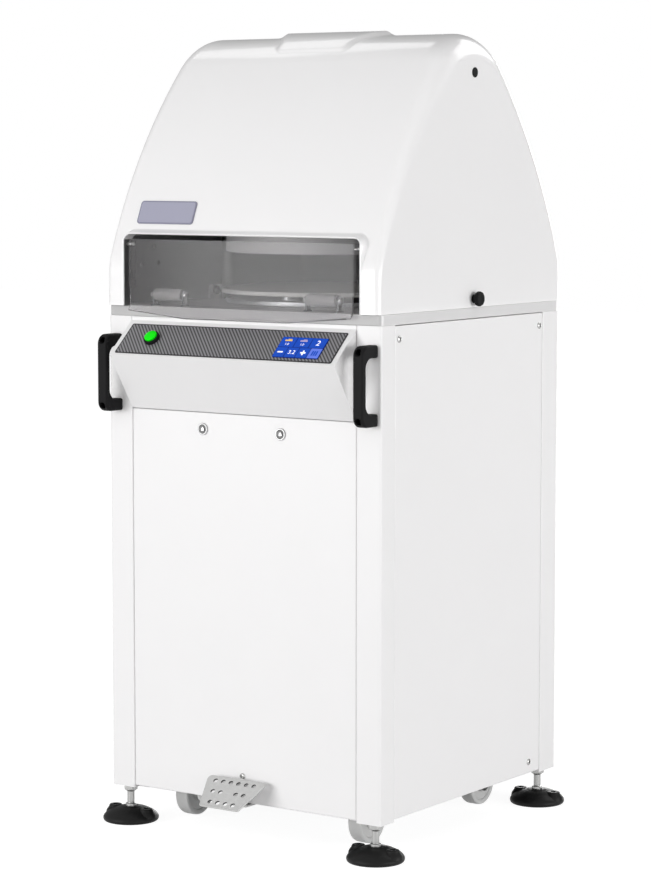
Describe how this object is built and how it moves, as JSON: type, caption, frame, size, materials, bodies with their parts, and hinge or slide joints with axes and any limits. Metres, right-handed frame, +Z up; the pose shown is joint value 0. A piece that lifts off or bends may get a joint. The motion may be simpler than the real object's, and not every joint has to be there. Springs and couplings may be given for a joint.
{
  "type": "divider rounder",
  "caption": "Free-standing bun divider rounder: square cabinet on levelling feet, tilting moulded hood, see-through guard, press and knife head, orbiting moulding plate, console and foot pedal.",
  "frame": {"origin": "floor level under the middle of the cabinet, which is the middle of the whole machine's box", "axes": "+Z up, -Y towards the front with the console and the pedal, +X to the right as seen from the front"},
  "size_m": [0.6539, 0.7464, 1.4601],
  "materials": {
    "white_paint": "satin",
    "hood_white": "gloss",
    "table_grey": "satin",
    "frame_grey": "satin",
    "steel": "brushed",
    "cast_alloy": "satin",
    "plate_white": "matte",
    "black_plastic": "matte",
    "pad_rubber": "matte",
    "wheel_grey": "matte",
    "belt_rubber": "matte",
    "fascia_dark": "gloss",
    "screen_blue": "gloss",
    "button_green": "gloss",
    "smoked_clear": "gloss",
    "badge_grey": "satin",
    "unit_blue": "gloss"
  },
  "bodies": {
    "cabinet": {"base_tray": "frame_grey", "corner_post_fl": "white_paint", "corner_post_fr": "white_paint", "corner_post_rl": "white_paint", "corner_post_rr": "white_paint", "table_plate": "table_grey", "front_panel": "white_paint", "left_panel": "white_paint", "right_panel": "white_paint", "rear_panel": "white_paint", "cover_screws": "steel", "console_housing": "white_paint", "console_fascia": "fascia_dark", "touch_screen": "screen_blue", "button_collar": "black_plastic", "handle_left": "black_plastic", "handle_right": "black_plastic", "foot_pads": "pad_rubber", "foot_stems": "steel", "castor_forks": "steel", "pedal_bracket": "steel", "pedal_switch": "black_plastic", "cable_gland": "black_plastic", "electrical_box": "frame_grey", "hydraulic_unit": "unit_blue", "motor_mount": "frame_grey", "drive_motor": "unit_blue", "drive_belt": "belt_rubber", "bearing_housing": "frame_grey", "guide_columns": "steel", "crosshead": "frame_grey", "press_cylinder": "frame_grey", "roller_brackets": "steel", "table_hinges": "steel"},
    "crank": {"crank_shaft": "steel", "driven_pulley": "cast_alloy"},
    "orbit": {"orbit_table": "cast_alloy", "moulding_plate": "plate_white"},
    "idler": {"idler_crank": "steel"},
    "motor_rotor": {"motor_pulley": "cast_alloy"},
    "press": {"press_head": "cast_alloy"},
    "knives": {"knife_block": "steel"},
    "hood": {"hood_shell": "hood_white", "hood_hinges": "steel", "guard_pins": "steel", "hood_plugs": "black_plastic", "name_plate": "badge_grey"},
    "guard": {"guard_window": "smoked_clear"},
    "knob_left": {"hood_knob_left": "black_plastic"},
    "knob_right": {"hood_knob_right": "black_plastic"},
    "button": {"start_button": "button_green"},
    "pedal": {"pedal_plate": "steel"},
    "lock_l": {"lock_left": "steel"},
    "lock_r": {"lock_right": "steel"},
    "castor_fl": {"wheel_fl": "wheel_grey"},
    "castor_fr": {"wheel_fr": "wheel_grey"},
    "castor_rl": {"wheel_rl": "wheel_grey"},
    "castor_rr": {"wheel_rr": "wheel_grey"},
    "load_roller_left": {"roller_left": "steel"},
    "load_roller_right": {"roller_right": "steel"}
  },
  "joints": [
    {"name": "hood_tilt", "type": "hinge", "parent": "cabinet", "child": "hood", "pos_m": [0, 0.3165, 0.9683], "axis": [-1, 0, 0], "range_deg": [0, 70]},
    {"name": "guard_lift", "type": "hinge", "parent": "hood", "child": "guard", "pos_m": [0, -0.296, 1.074], "axis": [-1, 0, 0], "range_deg": [0, 85]},
    {"name": "hood_knob_left_turn", "type": "hinge", "parent": "hood", "child": "knob_left", "pos_m": [-0.299, 0, 0.978], "axis": [1, 0, 0], "continuous": true},
    {"name": "hood_knob_right_turn", "type": "hinge", "parent": "hood", "child": "knob_right", "pos_m": [0.299, 0, 0.978], "axis": [1, 0, 0], "continuous": true},
    {"name": "start_button_press", "type": "slide", "parent": "cabinet", "child": "button", "axis": [0, 0.6665, -0.7455], "range_m": [0, 0.0035], "stiffness_N_per_m": 400, "springref_m": -0.002},
    {"name": "pedal_press", "type": "hinge", "parent": "cabinet", "child": "pedal", "pos_m": [0, -0.248, 0.076], "axis": [1, 0, 0], "range_deg": [0, 8], "stiffness_Nm_per_rad": 6, "springref_deg": -11.46},
    {"name": "lock_left_turn", "type": "hinge", "parent": "cabinet", "child": "lock_l", "pos_m": [-0.086, -0.299, 0.745], "axis": [0, 1, 0], "range_deg": [0, 90]},
    {"name": "lock_right_turn", "type": "hinge", "parent": "cabinet", "child": "lock_r", "pos_m": [0.086, -0.299, 0.745], "axis": [0, 1, 0], "range_deg": [0, 90]},
    {"name": "castor_fl_roll", "type": "hinge", "parent": "cabinet", "child": "castor_fl", "pos_m": [-0.195, -0.187, 0.046], "axis": [1, 0, 0], "continuous": true},
    {"name": "castor_fr_roll", "type": "hinge", "parent": "cabinet", "child": "castor_fr", "pos_m": [0.195, -0.187, 0.046], "axis": [1, 0, 0], "continuous": true},
    {"name": "castor_rl_roll", "type": "hinge", "parent": "cabinet", "child": "castor_rl", "pos_m": [-0.195, 0.187, 0.046], "axis": [1, 0, 0], "continuous": true},
    {"name": "castor_rr_roll", "type": "hinge", "parent": "cabinet", "child": "castor_rr", "pos_m": [0.195, 0.187, 0.046], "axis": [1, 0, 0], "continuous": true},
    {"name": "load_roller_left_roll", "type": "hinge", "parent": "cabinet", "child": "load_roller_left", "pos_m": [-0.1695, -0.286, 0.9835], "axis": [1, 0, 0], "continuous": true},
    {"name": "load_roller_right_roll", "type": "hinge", "parent": "cabinet", "child": "load_roller_right", "pos_m": [0.1695, -0.286, 0.9835], "axis": [1, 0, 0], "continuous": true},
    {"name": "crank_spin", "type": "hinge", "parent": "cabinet", "child": "crank", "pos_m": [0, 0, 0.95], "axis": [0, 0, 1], "continuous": true},
    {"name": "table_orbit", "type": "hinge", "parent": "crank", "child": "orbit", "pos_m": [0, 0.012, 0.968], "axis": [0, 0, 1], "continuous": true},
    {"name": "idler_spin", "type": "hinge", "parent": "cabinet", "child": "idler", "pos_m": [0, 0.13992, 0.95], "axis": [0, 0, 1], "continuous": true},
    {"name": "motor_spin", "type": "hinge", "parent": "cabinet", "child": "motor_rotor", "pos_m": [0, 0.19, 0.825], "axis": [0, 0, 1], "continuous": true},
    {"name": "press_stroke", "type": "slide", "parent": "cabinet", "child": "press", "axis": [0, 0, -1], "range_m": [0, 0.066]},
    {"name": "knife_stroke", "type": "slide", "parent": "press", "child": "knives", "axis": [0, 0, -1], "range_m": [0, 0.029]}
  ],
  "couplings": [
    {"joint": "table_orbit", "follows": "crank_spin", "ratio": -1},
    {"joint": "idler_spin", "follows": "crank_spin", "ratio": 1},
    {"joint": "motor_spin", "follows": "crank_spin", "ratio": 2.6086}
  ]
}
